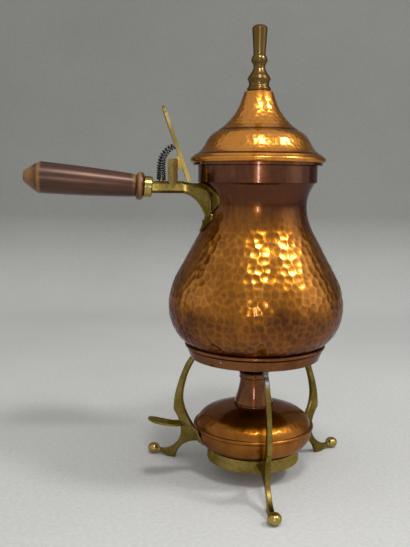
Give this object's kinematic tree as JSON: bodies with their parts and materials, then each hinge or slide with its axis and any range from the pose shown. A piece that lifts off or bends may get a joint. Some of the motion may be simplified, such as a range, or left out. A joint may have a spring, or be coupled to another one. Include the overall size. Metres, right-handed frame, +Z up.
{
  "type": "samovar",
  "caption": "Hammered copper pot with side handle, lid and spout, standing on a three-legged frame over a lift-out spirit burner.",
  "frame": {"origin": "middle of the object's box, on the floor", "axes": "+Z up, the handle along -X, one leg towards -Y and the spout towards +Y"},
  "size_m": [0.2976, 0.2104, 0.4001],
  "materials": {
    "copper": "hammered, aged polish",
    "brass": "aged, satin",
    "steel": "dark, worn",
    "wood": "varnished, worn at the edges",
    "wick": "matt, charred at its end"
  },
  "bodies": {
    "stand": {"leg_front": "brass", "leg_left": "brass", "leg_right": "brass", "foot_ball_front": "brass", "foot_ball_left": "brass", "foot_ball_right": "brass", "stand_ring": "copper", "gallery_ring": "brass", "gallery_rivets": "brass"},
    "burner": {"burner_cup": "copper", "burner_dome": "copper", "burner_handle": "brass", "burner_rivets": "brass"},
    "wick_holder": {"burner_bell": "copper", "wick_tube": "brass", "wick": "wick"},
    "pot": {"pot_body": "copper", "pot_base": "copper", "neck_collar": "copper", "spout": "copper", "handle_bracket": "brass", "bracket_rivets": "brass", "ferrule": "brass", "ferrule_pin": "steel", "handle_rod": "steel", "handle_bead": "wood", "handle_grip": "wood", "lever_post": "brass", "lever_pin": "steel", "lever_spring": "steel", "spring_peg": "brass"},
    "lid": {"lid": "copper", "lid_plug": "copper", "finial": "brass", "finial_nut": "brass"},
    "lever": {"thumb_lever": "brass"}
  },
  "joints": [
    {"name": "pot_lift", "type": "slide", "parent": "stand", "child": "pot", "axis": [0, 0, 1], "range_m": [0, 0.15]},
    {"name": "lid_lift", "type": "slide", "parent": "pot", "child": "lid", "axis": [0, 0, 1], "range_m": [0, 0.12]},
    {"name": "lever_press", "type": "hinge", "parent": "pot", "child": "lever", "pos_m": [-0.02141, 0.00433, 0.2804], "axis": [0, -1, 0], "range_deg": [0, 18], "stiffness_Nm_per_rad": 0.15, "springref_deg": -11.46, "deforming": ["lever_spring"]},
    {"name": "burner_lift", "type": "slide", "parent": "stand", "child": "burner", "axis": [0, 0, 1], "range_m": [0, 0.01]},
    {"name": "wick_holder_lift", "type": "slide", "parent": "burner", "child": "wick_holder", "axis": [0, 0, 1], "range_m": [0, 0.007]}
  ]
}
